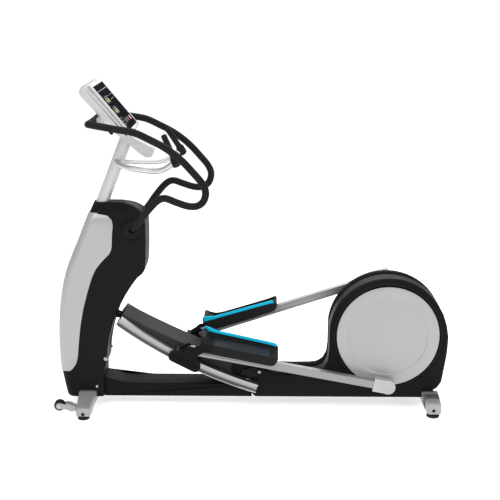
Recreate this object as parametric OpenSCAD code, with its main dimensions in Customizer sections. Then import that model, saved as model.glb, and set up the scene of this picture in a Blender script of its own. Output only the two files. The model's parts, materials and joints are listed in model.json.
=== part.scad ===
// Rear-drive elliptical trainer: an inclining curved ramp at the front, a crank drive at the rear.
// Frame: +X to the rear (drive housing), -X to the front (console), -Y is the user's left, +Z up.
// The origin is on the floor, midway along the machine.

/* [Overall] */
// half width of the plastic drive housing and of the pivot block
housing_half_w = 100; // [80:1:130]
// half width of the front column shroud
column_half_w = 105; // [80:1:140]
// half width of the low base beam
beam_half_w = 75; // [60:1:95]
// half distance between the two handlebars
handlebar_half_span = 270; // [230:1:300]

/* [Drive] */
// crank axis, distance behind the origin
crank_x = 698; // [600:1:760]
// crank axis height
crank_z = 397; // [360:1:430]
// crank throw, axis to crank pin
crank_throw = 250; // [200:1:255]
// radius of the round crank covers
disc_r = 265; // [255:1:280]
// large belt pulley radius
pulley_r = 150; // [120:1:170]
// small belt pulley radius on the flywheel
small_pulley_r = 22; // [15:1:30]
// flywheel radius
flywheel_r = 92; // [70:1:100]

/* [Ramp] */
// ramp pivot, distance behind the origin
pivot_x = 33; // [0:1:80]
// ramp pivot height
pivot_z = 202; // [180:1:220]
// radius of the rails' running face
rail_r = 2400; // [2000:10:3000]
// rail arc centre, distance behind the origin
rail_cx = 754; // [700:1:800]
// rail arc centre height
rail_cz = 2426; // [2300:1:2500]
// arc angle of the rails' front end
rail_front_a = 36.6; // [34:0.1:37]
// arc angle of the rails' rear end
rail_rear_a = 17.6; // [17:0.1:20]
// rail depth
rail_h = 48; // [40:1:60]
// arc angle of the ramp cover's rear end
cover_rear_a = 20.3; // [20:0.1:22]
// inner face of each rail, from the middle
rail_y = 104; // [102:0.5:108]
// rail width
rail_w = 42; // [36:1:44]
// column's rear face, radius about the ramp pivot
column_arc_r = 800; // [795:1:810]

/* [Pedal arms] */
// arm length, front pivot to crank pin
arm_len = 1034; // [1000:1:1060]
// half distance between the two arms' centre lines
arm_y = 175; // [165:1:200]
// arm tube height
arm_h = 40; // [30:1:50]
// arm tube width
arm_w = 38; // [30:1:45]
// height of the arm's front pivot above the running face
pivot_rise = 54; // [50:1:65]

/* [Hidden] */
$fn = 64;
eps = 0.01;
fit = 0.05;                                    // radial running clearance
pivot_r = rail_r - pivot_rise;                 // arm pivot's radius about the rail centre

// arc angle where an arm's pivot sits when its crank pin is at height z
function pin_d(z) = norm([crank_x - rail_cx, z - rail_cz]);
function pin_a(z) = atan2(rail_cx - crank_x, rail_cz - z);
function ride_a(z) = pin_a(z) + acos((pow(pivot_r, 2) + pow(pin_d(z), 2) - pow(arm_len, 2))
                                     / (2 * pivot_r * pin_d(z)));
function on_arc(r, a) = [rail_cx - r * sin(a), rail_cz - r * cos(a)];
function arc_points(c, r, a0, a1, n) = [for (i = [0 : n]) let (a = a0 + (a1 - a0) * i / n)
                                        [c[0] + r * cos(a), c[1] + r * sin(a)]];

low_pin_z = crank_z - crank_throw;             // left side at rest: pin at the bottom
high_pin_z = crank_z + crank_throw;            // right side at rest: pin at the top
left_a = ride_a(low_pin_z);
right_a = ride_a(high_pin_z);
left_pivot = on_arc(pivot_r, left_a);
right_pivot = on_arc(pivot_r, right_a);
left_pitch = atan2(left_pivot[1] - low_pin_z, crank_x - left_pivot[0]);
right_pitch = atan2(right_pivot[1] - high_pin_z, crank_x - right_pivot[0]);

// lift: a rod with a cross pin that works in a slot in the ramp's tongue
lift_r = 830;                                  // pin's radius about the ramp pivot
lift_rest_a = 20;                              // pin's angle at rest, and the rod's lean
lift_swing = 8;                                // how far the ramp tips either way
lift_stroke = 117;                             // how far the rod slides either way
lift_tube_top = -150;                          // guide tube's top below the pin at rest
lift_rod_end = lift_tube_top - lift_stroke - 19;
lift_tube_end = lift_rod_end - lift_stroke - 8;
ramp_shaft_r = 9;
function lift_pin(a) = [pivot_x - lift_r * cos(a), pivot_z + lift_r * sin(a)];

// console frame: face centre and tilt
console_x = -697;
console_z = 1566;
console_tilt = 50;
console_half_w = 172;

// post axis
post_r = 32;
post_lean = 21.8;
post_x = -760;
post_z = 1115;

flywheel_x = 520;
flywheel_z = 190;
flywheel_shaft_r = 9;

rail_out = rail_y + rail_w;                    // outer face of each rail
roller_x = 62;                                 // rollers ahead of and behind the arm's pivot
roller_z = -24.5;                              // their axes below the running face
roller_r = 13.8;
axle_r = 5;
pin_r = 10;                                    // arm's front pivot pin
crank_pin_r = 12;
shaft_r = 15;                                  // crank shaft
foot_bolt_r = 6;

// ---------- helpers ----------

// extrudes an outline drawn in X and Z between two places along Y
module slab(y0, y1) {
    translate([0, y1, 0])
        rotate([90, 0, 0])
            linear_extrude(y1 - y0)
                children();
}

// a round bar along Y between two places
module bar_y(x, z, r, y0, y1) {
    translate([x, y1, z])
        rotate([90, 0, 0])
            cylinder(r = r, h = y1 - y0);
}

module mirrored() {
    mirror([0, 1, 0])
        children();
}

// a band that follows the rails' arc, between two radii and two arc angles
module arc_band(r0, r1, a0, a1) {
    polygon(concat([for (i = [0 : 24]) on_arc(r0, a0 + (a1 - a0) * i / 24)],
                   [for (i = [24 : -1 : 0]) on_arc(r1, a0 + (a1 - a0) * i / 24)]));
}

// a place on the rails: x runs along the rail to the rear, z stands up from the running face
module on_rail(a, rise) {
    p = on_arc(rail_r - rise, a);
    translate([p[0], 0, p[1]])
        rotate([0, a, 0])
            children();
}

// the arm's own frame: x runs from the front pivot to the crank pin, z stands up from the arm
module on_arm(pivot, pitch) {
    translate([pivot[0], 0, pivot[1]])
        rotate([0, pitch, 0])
            children();
}

module on_console() {
    translate([console_x, 0, console_z])
        rotate([0, console_tilt, 0])
            children();
}

// a point part way along a smooth curve through four route points
function blend4(a, b, c, d, t) = 0.5 * (2 * b + (c - a) * t + (2 * a - 5 * b + 4 * c - d) * t * t
                                        + (3 * b - a - 3 * c + d) * t * t * t);
function smooth_route(p, m) = let (n = len(p) - 1)
    concat([for (i = [0 : n - 1]) for (k = [0 : m - 1])
            blend4(p[max(i - 1, 0)], p[i], p[i + 1], p[min(i + 2, n)], k / m)], [p[n]]);
function unit(v) = v / norm(v);

// a tube of radius r swept along a route, as one closed body with flat ends
module swept_tube(route, r, sides = 12) {
    n = len(route) - 1;
    dirs = [for (i = [0 : n]) unit(route[min(i + 1, n)] - route[max(i - 1, 0)])];
    // the second axis starts square to the route and is carried along it
    first = unit(cross(dirs[0], abs(dirs[0][1]) < 0.9 ? [0, 1, 0] : [1, 0, 0]));
    axes = [for (i = 0, a = first; i <= n;
                 i = i + 1, a = i <= n ? unit(a - dirs[i] * (a * dirs[i])) : a) a];
    rings = [for (i = [0 : n]) for (k = [0 : sides - 1])
             let (a = 360 * k / sides, u = axes[i], v = cross(dirs[i], u))
             route[i] + r * (cos(a) * u + sin(a) * v)];
    walls = [for (i = [0 : n - 1]) for (k = [0 : sides - 1]) let (q = (k + 1) % sides)
             [i * sides + k, (i + 1) * sides + k, (i + 1) * sides + q, i * sides + q]];
    polyhedron(points = rings,
               faces = concat([[for (k = [0 : sides - 1]) k]],
                              [[for (k = [0 : sides - 1]) n * sides + sides - 1 - k]], walls));
}

// ---------- steel frame ----------

module base_frame() color("dimgray") {
    wall = 3;
    for (s = [-1, 1]) {
        // box tubes, closed at the rear end
        difference() {
            translate([-955, s * 50 - 16, 60])
                cube([1905, 32, 46]);
            translate([-955 - wall, s * 50 - 16 + wall, 60 + wall])
                cube([1905, 32 - 2 * wall, 46 - 2 * wall]);
        }
        // pads that stand on the two cross feet
        for (x = [-900, 890])
            translate([x, s * 50 - 16, 50])
                cube([60, 32, 10 + eps]);
        // posts that carry the crank bearings
        difference() {
            union() {
                slab(s * 66 - 6, s * 66 + 6)
                    polygon([[crank_x - 60, 60], [crank_x + 60, 60],
                             [crank_x + 34, crank_z], [crank_x - 34, crank_z]]);
                bar_y(crank_x, crank_z, 40, s * 66 - 6, s * 66 + 6);
            }
            bar_y(crank_x, crank_z, 30, s * 66 - 10, s * 66 + 10);
        }
        // plates that carry the flywheel's shaft
        difference() {
            slab(s * 50 - 4, s * 50 + 4)
                polygon([[flywheel_x - 34, 100], [flywheel_x + 34, 100],
                         [flywheel_x + 18, flywheel_z + 18], [flywheel_x - 18, flywheel_z + 18]]);
            bar_y(flywheel_x, flywheel_z, flywheel_shaft_r + fit, s * 50 - 10, s * 50 + 10);
        }
        // ears that carry the ramp shaft
        difference() {
            slab(s * 70 - 4, s * 70 + 4)
                polygon([[pivot_x - 25, 60], [pivot_x + 45, 60],
                         [pivot_x + 16, pivot_z + 12], [pivot_x - 16, pivot_z + 12]]);
            bar_y(pivot_x, pivot_z, ramp_shaft_r, s * 70 - 10, s * 70 + 10);
        }
    }
    // cross members
    for (x = [-955, -905, -560, 200, 400, 640, 900])
        translate([x, -34 - eps, 60])
            cube([40, 68 + 2 * eps, 33]);
    translate([-955, -34 - eps, 60])
        cube([40, 68 + 2 * eps, 40]);
}

// leaning spine inside the column, with a sleeve that takes the post
module mast() color("dimgray") {
    difference() {
        union() {
            // box section, open at the foot
            difference() {
                slab(-33.5, 33.5)
                    polygon([[-955, 100], [-915, 100], [-928, 420], [-884, 690], [-842, 850],
                             [-900, 850], [-944, 690], [-985, 420], [-978, 170]]);
                slab(-29.5, 29.5)
                    polygon([[-949, 90], [-920, 90], [-932, 420], [-888, 690], [-862, 790],
                             [-913, 790], [-940, 690], [-981, 420], [-973, 170]]);
            }
            translate([post_x, 0, post_z])
                rotate([0, post_lean, 0])
                    translate([0, 0, -300])
                        cylinder(r = 37.5, h = 150);
        }
        translate([post_x, 0, post_z])
            rotate([0, post_lean, 0])
                translate([0, 0, -290])
                    cylinder(r = post_r, h = 300);
    }
}

module console_post() color("silver")
    translate([post_x, 0, post_z])
        rotate([0, post_lean, 0])
            translate([0, 0, -290])
                difference() {
                    cylinder(r = post_r, h = 620);
                    translate([0, 0, -eps])
                        cylinder(r = post_r - 3, h = 615);
                }

// cast cross foot: sloping tops, raised middle and a low end on each side
module stabiliser(x0, x1, half, z_root, z_end) {
    root = 106;
    z_low = 18;
    difference() {
        translate([x0, 0, 0])
            rotate([90, 0, 90])
                linear_extrude(x1 - x0)
                    polygon([[-half, z_low], [-half, z_end], [-root, z_root],
                             [root, z_root], [half, z_end], [half, z_low],
                             [half - 70, z_low], [half - 110, 30], [110 - half, 30],
                             [70 - half, z_low]]);
        // relief under the machine
        translate([x0 - 10, -root, 50])
            cube([x1 - x0 + 20, 2 * root, 60]);
    }
}

module front_stabiliser() color("silver") {
    difference() {
        stabiliser(-916, -820, 300, 92, 62);
        // screw hole in each end face and a threaded hole for each foot
        for (s = [-1, 1]) {
            bar_y(-864, 30, foot_bolt_r, s * 298 - 8, s * 298 + 8);
            translate([-866, s * 280, 10])
                cylinder(r = foot_bolt_r, h = 38);
        }
    }
    // wheel brackets on the front face, with their axles
    for (s = [-1, 1]) {
        for (y = [s * 246, s * 284])
            slab(y - 3, y + 3)
                polygon([[-915, 42], [-915, 59], [-980, 82], [-1000, 76], [-1000, 64], [-980, 58]]);
        bar_y(-988, 70, axle_r, s * 265 - 22, s * 265 + 22);
    }
}

module rear_stabiliser() color("silver")
    difference() {
        stabiliser(880, 970, 245, 96, 78);
        for (s = [-1, 1]) {
            bar_y(925, 38, foot_bolt_r, s * 241 - 8, s * 241 + 8);
            translate([925, s * 222, 10])
                cylinder(r = foot_bolt_r, h = 38);
        }
    }

module levelling_foot(x, y) {
    translate([x, y, 0]) {
        cylinder(r1 = 22, r2 = 26, h = 8);
        translate([0, 0, 8 - eps])
            cylinder(r = 26, h = 8);
        translate([0, 0, 15])
            cylinder(r = foot_bolt_r, h = 28);
    }
}

module levelling_feet() color("black") {
    for (s = [-1, 1]) {
        levelling_foot(-866, s * 280);
        levelling_foot(925, s * 222);
    }
}

module transport_wheel() color("dimgray")
    difference() {
        union() {
            bar_y(-988, 70, 28, -278, -252);
            bar_y(-988, 70, 12, -279.5, -250.5);
        }
        bar_y(-988, 70, axle_r + fit, -290, -240);
    }

// ---------- covers ----------

module base_cover() color("#242424")
    difference() {
        slab(-beam_half_w, beam_half_w)
            polygon([[-786, 52], [-786, 151], [-700, 128], [-620, 119], [-7, 119], [-7, 52]]);
        slab(4 - beam_half_w, beam_half_w - 4)
            polygon([[-790, 40], [-790, 146], [-700, 123], [-620, 114], [0, 114], [0, 40]]);
    }

// outline of the column: front curve, crown, rear arc about the ramp pivot, foot
module column_outline() {
    polygon(concat(
        [[-984, 52], [-999, 123], [-1010, 190], [-1015, 287], [-1015, 402], [-1007, 517],
         [-992, 622], [-969, 720], [-938, 802], [-903, 883], [-861, 985], [-834, 1051],
         [-819, 1086], [-745, 1084], [-671, 1080], [-618, 1072], [-580, 1052], [-552, 1020],
         [-546, 947], [-549, 800], [-552, 744]],
        [for (i = [0 : 12]) let (a = 140.5 + i * 3)
         [pivot_x + column_arc_r * cos(a), pivot_z + column_arc_r * sin(a)]],
        [[-782, 215], [-784, 150], [-784, 52]]));
}

module column_pocket()
    offset(delta = -4)
        column_outline();

// slot in the column's rear wall that the lift tongue passes through
module tongue_slot()
    slab(-28, 28)
        polygon(concat(
            arc_points([pivot_x, pivot_z], column_arc_r - 30, 180 - 36, 180 - 6, 12),
            arc_points([pivot_x, pivot_z], column_arc_r + 60, 180 - 6, 180 - 36, 12)));

// wedge that slopes the shoulders in towards the crown, moved in by t
module shoulder_wedge(t)
    translate([-900, -column_half_w + t, 1020])
        rotate([-40, 0, 0])
            translate([0, -60, -60])
                cube([400, 60, 220]);

module shroud_half() color("#262626")
    difference() {
        slab(-column_half_w, -0.2)
            column_outline();
        difference() {
            slab(4 - column_half_w, 0)
                column_pocket();
            shoulder_wedge(6);
        }
        shoulder_wedge(0);
        // open foot, where the base frame and beam pass
        translate([-970, -71, 40])
            cube([200, 80, 90]);
        translate([-978, 4 - column_half_w, 40])
            cube([189, column_half_w, 20]);
        translate([-800, -beam_half_w - 0.3, 40])
            cube([40, beam_half_w + 1, 112]);
        // hole in the crown for the post
        translate([post_x, 0, post_z])
            rotate([0, post_lean, 0])
                translate([0, 0, -60])
                    cylinder(r = post_r + 0.5, h = 120);
        tongue_slot();
    }

module side_panel() color("silver")
    difference() {
        slab(-column_half_w - 5, -column_half_w)
            polygon([[-998, 190], [-1014, 287], [-1015, 402], [-1007, 517], [-992, 622],
                     [-969, 720], [-938, 802], [-903, 883], [-861, 985], [-836, 1040],
                     [-783, 1034], [-741, 1028], [-716, 1008], [-710, 980], [-716, 930],
                     [-720, 857], [-733, 828], [-770, 791], [-804, 750], [-827, 701],
                     [-851, 627], [-876, 537], [-894, 445], [-904, 369], [-915, 268],
                     [-927, 230], [-966, 202]]);
        shoulder_wedge(0);
    }

// outline of the drive housing with the pivot block in front of it
module housing_outline() {
    polygon(concat(
        [[-6, 52], [-6, 188], [9, 219], [33, 224], [58, 217], [90, 197], [130, 188], [300, 188],
         [340, 193], [370, 212], [390, 250], [396, 300]],
        arc_points([crank_x, crank_z], 303, 176, 32, 24),
        [[1004, 450], [1015, 385], [1009, 280], [988, 140], [930, 85], [890, 52]]));
}

module housing_half() color("#2a2a2a")
    difference() {
        union() {
            slab(-housing_half_w, -0.2)
                housing_outline();
            // raised ring round the crank cover
            difference() {
                bar_y(crank_x, crank_z, 298, -housing_half_w - 20, -housing_half_w + 2);
                bar_y(crank_x, crank_z, disc_r + 6, -housing_half_w - 30, -housing_half_w);
            }
        }
        slab(5 - housing_half_w, 0)
            offset(delta = -5)
                housing_outline();
        // open underside
        translate([30, 5 - housing_half_w, 40])
            cube([850, housing_half_w, 20]);
        translate([-10, -72, 40])
            cube([45, 73, 68]);
        translate([860, -72, 40])
            cube([100, 73, 68]);
        bar_y(pivot_x, pivot_z, ramp_shaft_r, -housing_half_w - 10, 0);
        bar_y(crank_x, crank_z, 20, -housing_half_w - 10, 0);
    }

// ---------- lift ----------

// the pin's place at rest, with z along the rod
module on_lift_axis() {
    p = lift_pin(lift_rest_a);
    translate([p[0], 0, p[1]])
        rotate([0, lift_rest_a, 0])
            children();
}

// motor, gearbox and guide tube
module lift_actuator() color("dimgray")
    on_lift_axis() {
        difference() {
            translate([0, 0, lift_tube_end])
                cylinder(r = 20, h = lift_tube_top - lift_tube_end);
            translate([0, 0, lift_tube_end + 6])
                cylinder(r = 12 + fit, h = 300);
        }
        translate([18, -26, lift_tube_end + 10])
            cube([34, 52, 75]);
    }

// sliding rod with a cross pin in its head
module lift_rod() color("silver")
    on_lift_axis() {
        translate([0, 0, lift_rod_end])
            cylinder(r = 12, h = -14 - lift_rod_end);
        translate([-11, -9, -16])
            cube([22, 18, 28]);
        bar_y(0, 0, 6, -24, 24);
    }

// ---------- ramp ----------

module ramp_shaft() color("silver") {
    bar_y(pivot_x, pivot_z, ramp_shaft_r, -118, 118);
    for (s = [-1, 1])
        bar_y(pivot_x, pivot_z, 15, s * 120.5 - 2.5, s * 120.5 + 2.5);
}

module ramp_frame() color("#202020") {
    plate_rear_a = 22;
    // deck plate between the rails
    slab(0.5 - rail_y, rail_y - 0.5)
        arc_band(rail_r + 2, rail_r + 6, cover_rear_a, rail_front_a);
    for (s = [-1, 1]) {
        // side plates under the deck, bent down behind to the rear cross bar
        slab(s * 71 - 5, s * 71 + 5)
            arc_band(rail_r + 5, rail_r + rail_h, plate_rear_a, rail_front_a);
        slab(s * 71 - 5, s * 71 + 5)
            polygon([on_arc(rail_r + 3, plate_rear_a), on_arc(rail_r + 3, cover_rear_a),
                     [-52, 200], [-40, 184], [-56, 178], on_arc(rail_r + 30, plate_rear_a - 1.2),
                     on_arc(rail_r + 30, plate_rear_a)]);
        // ears on the pivot shaft
        difference() {
            slab(s * 109 - 5, s * 109 + 5)
                polygon([[-66, 186], [-14, 168], [pivot_x + 14, pivot_z - 21],
                         [pivot_x + 25, pivot_z], [pivot_x + 14, pivot_z + 21],
                         [pivot_x - 14, pivot_z + 21], [-50, 212]]);
            bar_y(pivot_x, pivot_z, ramp_shaft_r + fit, s * 109 - 10, s * 109 + 10);
        }
        // two cheeks of the lift tongue
        difference() {
            slab(s * 18 - 4, s * 18 + 4)
                polygon([lift_pin(lift_rest_a - 1.3), lift_pin(lift_rest_a - 1.3) - [22, -8],
                         lift_pin(lift_rest_a + 1.3) - [22, -8], lift_pin(lift_rest_a + 1.3),
                         lift_pin(lift_rest_a + 1.3) + [110, -40], on_arc(rail_r + 4, 33.5),
                         on_arc(rail_r + 40, 33.5), on_arc(rail_r + 40, 36.4)]);
            // slot in which the lift pin slides
            on_lift_axis()
                translate([-15, s * 18 - 6, -7])
                    cube([22, 12, 14]);
        }
    }
    // cross bars that tie the plates and the rails together
    for (a = [35.4, 28, 22.6])
        let (p = on_arc(rail_r + 25, a))
            bar_y(p[0], p[1], 14, -rail_y, rail_y);
    bar_y(-50, 190, 12, -114, 114);
}

// aluminium rail with an outward facing groove for the rollers
module rail() color("silver")
    difference() {
        slab(-rail_out, -rail_y)
            arc_band(rail_r, rail_r + rail_h, rail_rear_a, rail_front_a);
        slab(-rail_out - 8, 22 - rail_out)
            arc_band(rail_r + 10.5, rail_r + 40, rail_rear_a - 1, rail_front_a + 1);
    }

// hump-backed cover between the rails: how far its crest stands above the running face
function crest_rise(a) = 8 + 44 * (1 - pow((a - cover_rear_a) / (rail_front_a - cover_rear_a), 2));

// outline between a surface just above the rails and the crest, thinned by t, over a0 to a1
module cover_outline(foot, t, a0, a1) {
    n = 24;
    polygon(concat(
        [for (i = [0 : n]) let (a = a0 + (a1 - a0) * i / n)
         on_arc(rail_r - crest_rise(a) + t, a)],
        [for (i = [n : -1 : 0]) let (a = a0 + (a1 - a0) * i / n)
         on_arc(rail_r - foot, a)]));
}

// closed at the rear, open at the front
module ramp_cover() color("#4b4b4b")
    difference() {
        slab(-96, 96)
            cover_outline(-2, 0, cover_rear_a, rail_front_a);
        slab(-91, 91)
            cover_outline(-10, 5, cover_rear_a + 0.15, rail_front_a + 0.2);
    }

// ---------- carriages, rollers, pins ----------

// roller axles sit on the groove's middle line; the clevis above takes the arm's pin
module carriage(a) color("#202020")
    on_rail(a, 0) {
        skirt_in = -rail_out - 5;
        // skirt outside the rail, with a round lobe over each axle
        for (x = [-roller_x, roller_x])
            bar_y(x, roller_z, 27, skirt_in - 15, skirt_in);
        slab(skirt_in - 15, skirt_in)
            polygon([[-roller_x, -51.5], [roller_x, -51.5], [89, roller_z], [70, 20], [-70, 20],
                     [-89, roller_z]]);
        // saddle over the rail and under the arm
        translate([-70, -202, 4])
            cube([140, 86, 22]);
        // cheeks either side of the arm
        difference() {
            for (y = [-202, -153])
                slab(y, y + 5)
                    polygon([[-70, 4], [70, 4], [26, pivot_rise + 22], [-26, pivot_rise + 22]]);
            bar_y(0, pivot_rise, pin_r + fit, -210, -140);
        }
        // roller axles
        for (x = [-roller_x, roller_x])
            bar_y(x, roller_z, axle_r, skirt_in - 19, 19 - rail_out);
    }

module roller(a, x) color("dimgray")
    on_rail(a, 0)
        difference() {
            bar_y(x, roller_z, roller_r, -rail_out - 2, 18 - rail_out);
            bar_y(x, roller_z, axle_r + fit, -rail_out - 10, 40 - rail_out);
        }

module pivot_pin(pivot) color("silver") {
    bar_y(pivot[0], pivot[1], pin_r, -204, -147);
    bar_y(pivot[0], pivot[1], 14, -208, -202.3);
    bar_y(pivot[0], pivot[1], 14, -147.7, -142);
}

// ---------- arms and pedals ----------

module arm(pivot, pitch) color("gainsboro")
    on_arm(pivot, pitch)
        difference() {
            union() {
                translate([0, -arm_y - arm_w / 2, -arm_h / 2])
                    cube([arm_len - 52, arm_w, arm_h]);
                bar_y(0, 0, arm_h / 2, -arm_y - arm_w / 2, -arm_y + arm_w / 2);
            }
            bar_y(0, 0, pin_r + fit, -arm_y - 40, -arm_y + 40);
            translate([60, -arm_y - arm_w / 2 + 3, -arm_h / 2 + 3])
                cube([arm_len, arm_w - 6, arm_h - 6]);
        }

// die-cast end that carried the crank pin's bearing
module arm_cap(pivot, pitch) color("silver")
    on_arm(pivot, pitch)
        difference() {
            union() {
                bar_y(arm_len, 0, 37, -arm_y - 22, -arm_y + 20);
                translate([arm_len - 76, -arm_y - 22, -35])
                    cube([76, 42, 70]);
            }
            bar_y(arm_len, 0, 17, -arm_y, -arm_y + 40);
            translate([arm_len - 90, -arm_y - arm_w / 2 - 0.2, -arm_h / 2 - 0.2])
                cube([38.2, arm_w + 0.4, arm_h + 0.4]);
        }

// foot tray on top of the arm: low outer rim, taller inner rim, toe wall in front, low tail behind
module pedal(pivot, pitch) color("#1d1d1f")
    on_arm(pivot, pitch) {
        slab(-225, -60)
            polygon([[62, 20], [420, 20], [440, 34], [440, 46], [70, 50], [50, 40]]);
        slab(-76, -60)
            polygon([[60, 48], [440, 44], [445, 76], [430, 82], [60, 96], [44, 60]]);
        slab(-225, -213)
            polygon([[60, 14], [420, 6], [440, 20], [446, 60], [430, 60], [60, 64]]);
        // bracket outside the carriage's cheek, with a boss over the pivot pin's head
        slab(-225, -209.5) {
            polygon([[-30, -14], [14, -31], [64, 12], [110, 24], [110, 62], [44, 62], [44, 40]]);
            circle(r = 33);
        }
        slab(-213, -76)
            polygon([[44, 60], [60, 40], [110, 44], [92, 58], [70, 100], [52, 104], [44, 90]]);
        slab(-213, -76)
            polygon([[410, 40], [440, 40], [446, 60], [436, 64]]);
    }

// ---------- crank ----------

module crank_shaft() color("silver")
    bar_y(crank_x, crank_z, shaft_r, -113, 113);

module crank_bearings() color("silver")
    for (s = [-1, 1])
        difference() {
            bar_y(crank_x, crank_z, 30, s * 66 - 6, s * 66 + 6);
            bar_y(crank_x, crank_z, shaft_r + fit, s * 66 - 10, s * 66 + 10);
        }

module drive_pulley() color("dimgray")
    difference() {
        bar_y(crank_x, crank_z, pulley_r, -14, 14);
        bar_y(crank_x, crank_z, shaft_r, -20, 20);
        for (a = [0 : 60 : 300])
            bar_y(crank_x + 90 * cos(a), crank_z + 90 * sin(a), 30, -20, 20);
        difference() {
            bar_y(crank_x, crank_z, pulley_r - 16, 4, 20);
            bar_y(crank_x, crank_z, 40, 0, 22);
        }
    }

// crank arm with its short pin; sign tells which way the arm points
module crank_arm(sign) color("dimgray") {
    pin = crank_z + sign * crank_throw;
    difference() {
        union() {
            bar_y(crank_x, crank_z, 30, -112, -102);
            bar_y(crank_x, pin, 15, -112, -102);
            slab(-112, -102)
                polygon([[crank_x - 28, crank_z], [crank_x + 28, crank_z],
                         [crank_x + 15, pin], [crank_x - 15, pin]]);
        }
        bar_y(crank_x, crank_z, shaft_r, -120, -90);
    }
    bar_y(crank_x, pin, crank_pin_r, -153.6, -111);
}

module crank_disc(sign) color("silver")
    difference() {
        bar_y(crank_x, crank_z, disc_r, -124, -114);
        // shallow round step in the face
        difference() {
            bar_y(crank_x, crank_z, 0.79 * disc_r, -130, -122);
            bar_y(crank_x, crank_z, 0.765 * disc_r, -131, -121);
        }
        bar_y(crank_x, crank_z + sign * crank_throw, crank_pin_r, -130, -110);
    }

module flywheel() color("gray") {
    difference() {
        bar_y(flywheel_x, flywheel_z, flywheel_r, 16, 30);
        for (a = [0 : 72 : 288])
            bar_y(flywheel_x + 52 * cos(a), flywheel_z + 52 * sin(a), 18, 10, 40);
    }
    bar_y(flywheel_x, flywheel_z, small_pulley_r, -14, 16);
    bar_y(flywheel_x, flywheel_z, flywheel_shaft_r, -56, 56);
}

// flat belt: straight runs between arcs on the two pulleys
module belt_outline(extra) {
    hull() {
        translate([crank_x, crank_z])
            circle(r = pulley_r + extra);
        translate([flywheel_x, flywheel_z])
            circle(r = small_pulley_r + extra);
    }
}

module drive_belt() color("black")
    slab(-11, 11)
        difference() {
            belt_outline(3.5);
            belt_outline(0.4);
        }

// ---------- handlebars ----------

handlebar_r = 18;
h = -handlebar_half_span;
// route of the left handlebar, from the middle of the front crossing to its socket
handlebar_route = [
    [-800, 0, 1500], [-800, -60, 1500], [-800, -150, 1502], [-798, h + 44, 1506],
    [-786, h + 12, 1509], [-750, h, 1504], [-666, h, 1489], [-574, h, 1473], [-500, h, 1440],
    [-422, h, 1398], [-350, h, 1343], [-290, h, 1279], [-245, h, 1224], [-229, h + 2, 1180],
    [-240, h + 6, 1136], [-272, h + 10, 1111], [-318, h + 14, 1110], [-376, h + 18, 1128],
    [-430, -246, 1146], [-470, -236, 1130], [-516, -210, 1080], [-556, -172, 1026],
    [-592, -138, 982], [-607, -124, 963]];

module handlebar() color("#161616")
    swept_tube(smooth_route(handlebar_route, 3), handlebar_r);

// sockets on the column's flanks
module handlebar_sockets() color("#202020")
    for (s = [-1, 1])
        translate([-612, s * (column_half_w + 0.2), 958])
            rotate([-s * 90, 0, 0])
                cylinder(r1 = 52, r2 = 34, h = 30);

// bent support tube from the post out to a pulse grip
sensor_route = [
    [-694, -28, 1293], [-668, -62, 1279], [-620, -98, 1271], [-560, -124, 1266],
    [-502, -146, 1264], [-460, -163, 1269], [-426, -176, 1284], [-398, -185, 1306],
    [-386, -188, 1318]];

module sensor_tube() color("silver")
    swept_tube(smooth_route(sensor_route, 4), 14);

// short pulse grip that leans up and inwards from the sleeve on the support tube's end
grip_route = [[-381, -190, 1320], [-398, -170, 1352], [-420, -144, 1394], [-441, -118, 1432]];

module pulse_grip() color("#141414") {
    swept_tube(smooth_route(grip_route, 3), 15);
    translate([-382, -188, 1320])
        rotate([0, 39, 130])
            translate([0, 0, -24])
                cylinder(r = 22, h = 46);
}

// ---------- console ----------

module console_back() color("#e2e2e2")
    on_console()
        difference() {
            slab(-console_half_w, console_half_w)
                polygon([[-178, -34], [-170, -58], [-150, -68], [60, -60], [150, -34],
                         [156, -8], [150, -2], [-160, -2], [-174, -12]]);
            slab(6 - console_half_w, console_half_w - 6)
                polygon([[-168, -32], [-146, -58], [60, -52], [142, -30], [146, 10],
                         [-156, 10]]);
        }

module console_bezel() color("#d8d8d8")
    on_console()
        difference() {
            slab(-console_half_w, console_half_w)
                polygon([[-160, -2], [150, -2], [146, 8], [-150, 10], [-158, 6]]);
            translate([-140, 12 - console_half_w, -4])
                cube([272, 2 * console_half_w - 24, 30]);
        }

module display_panel() color("#141414")
    on_console()
        difference() {
            translate([-139.7, 12.3 - console_half_w, -2])
                cube([271.4, 2 * console_half_w - 24.6, 8]);
            for (y = [-60, 0])
                translate([74, y, 0])
                    cube([24, 40, 10]);
            translate([88, 80, 0])
                cylinder(r = 13, h = 20);
        }

module key_cap(y) color("#3a3a3a")
    on_console()
        translate([74.6, y + 0.6, 2])
            cube([22.8, 38.8, 6]);

module key_up() key_cap(-60);

module key_down() key_cap(0);

module stop_button() color("#b01818")
    on_console()
        translate([88, 80, 2.2])
            cylinder(r = 12.4, h = 9);

// neck between the post and the console, with a nose that holds two sockets
module console_neck() color("#d0d0d0")
    difference() {
        slab(-58, 58)
            polygon([[-782.5, 1514], [-746, 1526], [-705, 1480.5], [-627.5, 1428], [-604, 1418],
                     [-499, 1364], [-511, 1320], [-539, 1317], [-559, 1328], [-584, 1348],
                     [-613, 1373], [-675, 1426], [-700, 1450], [-782.5, 1484]]);
        translate([post_x, 0, post_z])
            rotate([0, post_lean, 0])
                cylinder(r = post_r, h = 331);
        for (y = [-30, 30])
            translate([-512, y, 1342])
                rotate([0, 90, 0])
                    cylinder(r = 6, h = 30);
    }

// ---------- output ----------

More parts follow.
